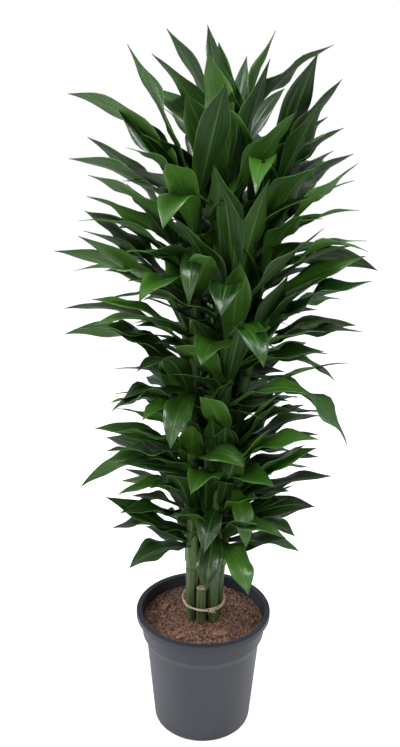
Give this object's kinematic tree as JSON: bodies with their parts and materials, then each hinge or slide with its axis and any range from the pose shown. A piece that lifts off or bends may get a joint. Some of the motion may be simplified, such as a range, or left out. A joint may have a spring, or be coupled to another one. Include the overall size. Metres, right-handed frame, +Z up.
{
  "type": "potted corn plant",
  "caption": "Bushy potted corn plant: upright leafy canes tied with raffia and standing in soil in a round nursery pot with a turned-down rim.",
  "frame": {"origin": "centre of the pot's underside, on the surface it stands on", "axes": "+Z up along the pot's axis, -Y towards the open front of the plant"},
  "size_m": [0.585, 0.4854, 1.3469],
  "materials": {
    "pot": "slate grey moulded plastic, satin",
    "soil": "moist peat and bark mix",
    "canes": "green ringed bark",
    "leaves": "glossy dark green leaf",
    "raffia": "dry raffia fibre",
    "bark": "rough bark"
  },
  "bodies": {
    "root": {"bark_chip_1": "bark", "bark_chip_2": "bark", "bark_chip_3": "bark", "bark_chip_4": "bark", "cane_1": "canes", "cane_1_lower_leaves": "leaves", "cane_1_middle_leaves": "leaves", "cane_1_upper_leaves": "leaves", "cane_2": "canes", "cane_2_lower_leaves": "leaves", "cane_2_middle_leaves": "leaves", "cane_2_upper_leaves": "leaves", "cane_3": "canes", "cane_3_lower_leaves": "leaves", "cane_3_middle_leaves": "leaves", "cane_3_upper_leaves": "leaves", "cane_4": "canes", "cane_4_lower_leaves": "leaves", "cane_4_middle_leaves": "leaves", "cane_4_upper_leaves": "leaves", "cane_5": "canes", "cane_5_lower_leaves": "leaves", "cane_5_middle_leaves": "leaves", "cane_5_upper_leaves": "leaves", "cane_6": "canes", "cane_6_lower_leaves": "leaves", "cane_6_middle_leaves": "leaves", "cane_6_upper_leaves": "leaves", "cane_7": "canes", "cane_7_lower_leaves": "leaves", "cane_7_middle_leaves": "leaves", "cane_7_upper_leaves": "leaves", "nursery_pot": "pot", "potting_soil": "soil", "pruned_cane": "canes", "raffia_tie": "raffia"}
  },
  "joints": []
}
